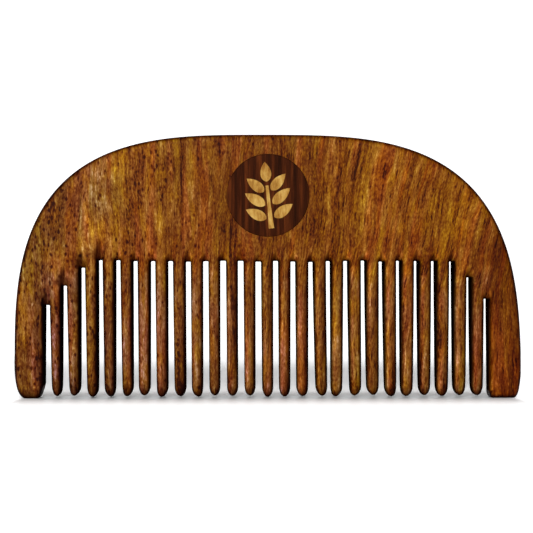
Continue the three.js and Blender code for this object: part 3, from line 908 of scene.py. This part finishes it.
# sawn walls and undersides go near black: rough wood with painted shade
colour = node(wood, "Mix", BLENDED, product(wood, sawn_and_shaded, 0.97), colour, linear("#0E0302"))
wood.links.new(colour, rosewood["Base Color"])
print("wear read from", list(WEAR_AND_LIGHT))

# %% Comb wood: satin where oiled, dull where sawn, with pores as shallow dents
PORE_DEPTH = 0.00004                               # metres
satin = node(wood, "MapRange", {}, fine, 0.3, 0.7, 0.44, 0.56)
rough = node(wood, "Math", PLUS, satin, product(wood, sawn_and_shaded, 0.4))
gloss = node(wood, "MapRange", {}, sawn_and_shaded, 0.0, 0.7, 0.025, 0.0)
relief = node(wood, "Math", MINUS, product(wood, fine, 0.35), pore)
bump = node(wood, "Bump", {}, Strength=0.5, Distance=PORE_DEPTH, Height=relief)
wood.links.new(rough, rosewood["Roughness"])
wood.links.new(gloss, rosewood["Specular IOR Level"])
wood.links.new(bump, rosewood["Normal"])
print("nodes in the comb's wood", len(wood.nodes))

# %% [markdown]
# ## The two inlaid woods
# The roundel is a very dark close-grained hardwood and the sprig a pale boxwood-like veneer, both
# sanded flush and left nearly matt. Their figure is finer than the comb's, about a millimetre
# across, so a short ramp and one layer of fibres are enough.

# %% Roundel and sprig


def inlaid_wood(name, size, rough, stops, fibres, vein):
    """A ramp over one noise, with darker fibres over it: fibres holds their size in mm, where they
    start and end in the noise, and their strength."""
    made, tree, shader = material(name)
    run = fibre_of(tree, 0.0, 1.6)
    body = grown(tree, figure(tree, run, size, 4.0, rough), *stops)
    fibre_size, start, end, strength = fibres
    share = node(tree, "MapRange", SOFT, figure(tree, run, fibre_size), start, end, 0.0, strength)
    tree.links.new(node(tree, "Mix", BLENDED, share, body, linear(vein)), shader["Base Color"])
    shader["Roughness"].default_value = 0.6
    shader["Specular IOR Level"].default_value = 0.02
    return made


DARK_HARDWOOD = inlaid_wood("dark_roundel_wood", (1.1, 4.0, 22.0), 0.6,
                            [(0.3, "#1A0701"), (0.5, "#331304"), (0.68, "#54260B")],
                            ((0.2, 1.0, 4.0), 0.4, 0.75, 0.45), "#130400")
PALE_VENEER = inlaid_wood("pale_inlay_wood", (1.3, 3.0, 3.2), 0.65,
                          [(0.3, "#774B1A"), (0.48, "#9B7435"), (0.68, "#B3914E")],
                          ((0.18, 1.0, 2.5), 0.5, 0.8, 0.6), "#643A12")
print("materials", [m.name for m in bpy.data.materials])

# %% Each piece takes its wood, rides on the frame's one body and stands for its CAD nodes
WEBS = [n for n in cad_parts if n.startswith("root_web")]
for name, ob in BOARD.items():
    ob.data.materials.append(OILED_ROSEWOOD)
    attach(ob, "root")
    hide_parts(name, *(WEBS if name == "spine" else []))
roundel.data.materials.append(DARK_HARDWOOD)
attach(roundel, "root")
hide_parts("emblem_disc")
for name, ob in INLAYS.items():
    ob.data.materials.append(PALE_VENEER)
    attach(ob, "root")
    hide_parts(name)
print("webs", WEBS)

# %% [markdown]
# ## Studio
# The comb stands on white paper that curves up behind it, under one large soft light in front. A
# white floor lit by lamps alone would be grey beside a dark comb, so the paper also glows, except in
# a soft band under and behind the teeth, where the comb's shadow would lie.

# %% The paper, a seamless sweep
FRONT, BACK, WALL_TOP, SWEEP_BEND, SIDE = -1.2, 0.45, 0.7, 0.35, 1.6       # metres


def sweep():
    """Floor, quarter-circle bend and wall as one strip between two sides."""
    a = np.linspace(0, math.pi / 2, 24)
    y = np.concatenate([[FRONT], BACK + SWEEP_BEND * np.sin(a), [BACK + SWEEP_BEND]])
    z = np.concatenate([[0], SWEEP_BEND - SWEEP_BEND * np.cos(a), [WALL_TOP]])
    verts = np.concatenate([np.column_stack([np.full(len(y), side * SIDE), y, z]) for side in (-1, 1)])
    i = np.arange(len(y) - 1)
    mesh = bpy.data.meshes.new("sweep")
    mesh.from_pydata(verts, [], np.stack([i, i + len(y), i + 1 + len(y), i + 1], 1).tolist())
    smooth(mesh)
    return new_object("sweep", mesh)


paper = sweep()
print("sweep", len(paper.data.polygons), "faces")

# %% White paper, which glows by place: 0 under the comb, a soft band behind it, and full light around
WHITE_PAPER, sheet, paper_shader = material("white_paper")
px, py, _ = node(sheet, "SeparateXYZ", {}, node(sheet, "TexCoord").node.outputs["Object"]).node.outputs
band = node(sheet, "Math", MINUS, node(sheet, "MapRange", SOFT, py, 0.008, 0.026, 0.0, 0.33),
            node(sheet, "MapRange", SOFT, py, 0.030, 0.060, 0.0, 0.12))
behind = node(sheet, "Math", PLUS, band, node(sheet, "MapRange", SOFT, py, 0.11, 0.23, 0.0, 0.45))
front = node(sheet, "MapRange", SOFT, py, 0.001, -0.028, 0.0, 0.62)
# beside the comb the glow starts at its end, and further out and more slowly towards the back
sideways = node(sheet, "Math", UNSIGNED, px)
backwards = node(sheet, "Math", HIGHER, py, 0.0)
past_end = node(sheet, "Math", MINUS, node(sheet, "Math", MINUS, sideways, 0.0545),
                product(sheet, backwards, 0.09))
fading_over = node(sheet, "Math", PLUS, 0.004, product(sheet, backwards, 0.06))
faded = node(sheet, "Math", OVER, past_end, fading_over)
beside = node(sheet, "MapRange", SOFT, faded, 0.0, 1.0, 0.0, 0.66)
glow = node(sheet, "Math", HIGHER, node(sheet, "Math", HIGHER, behind, front), beside)
# painted contact shadow: the paper itself is greyer within a few millimetres of the comb's foot line
under = product(sheet, node(sheet, "MapRange", SOFT, node(sheet, "Math", UNSIGNED, py), 0.009, 0.003),
                node(sheet, "MapRange", SOFT, sideways, 0.057, 0.053))
shade = node(sheet, "Mix", BLENDED, under, (0.85, 0.85, 0.85, 1), (0.68, 0.70, 0.71, 1))
paper_shader["Emission Color"].default_value = (1, 1, 1, 1)
sheet.links.new(glow, paper_shader["Emission Strength"])
sheet.links.new(shade, paper_shader["Base Color"])
paper.data.materials.append(WHITE_PAPER)
print("paper nodes", len(sheet.nodes))

# %% Lights: a large softbox in front, a weak one on the paper behind, and a little light all round


def softbox(name, at, aim, size, watts):
    """A rectangular light at a place, turned to face its aim."""
    lamp = bpy.data.lights.new(name, "AREA")
    lamp.shape, lamp.size, lamp.size_y, lamp.energy = "RECTANGLE", size[0], size[1], watts
    ob = bpy.data.objects.new(name, lamp)
    bpy.context.scene.collection.objects.link(ob)
    ob.location = at
    ob.rotation_euler = (Vector(aim) - Vector(at)).to_track_quat("-Z", "Y").to_euler()
    return ob


softbox("key", (-0.10, -0.85, 0.38), (0, 0, 0.02), (0.45, 0.25), 9.1)
softbox("wall", (0.0, 0.30, 0.55), (0, 0.9, 0.40), (1.4, 0.3), 0.6)
scene = bpy.context.scene
scene.world = scene.world or bpy.data.worlds.new("studio")
scene.world.use_nodes = True
surroundings = scene.world.node_tree.nodes["Background"].inputs
surroundings["Color"].default_value = (1, 1, 1, 1)
surroundings["Strength"].default_value = 0.08
scene.view_settings.view_transform = "Standard"

# %% Camera: square on, a little left of the middle
camera = bpy.data.objects.new("camera", bpy.data.cameras.new("camera"))
scene.collection.objects.link(camera)
camera.data.sensor_width, camera.data.lens = 36.0, 127.6
camera.location = (-0.00875, -0.4348, 0.0300)
AIM = Vector((-0.00045, -0.0048, 0.0301))
camera.rotation_euler = (AIM - camera.location).to_track_quat("-Z", "Y").to_euler()
bpy.context.scene.camera = camera
print("camera", camera.location[:], "lens", camera.data.lens)
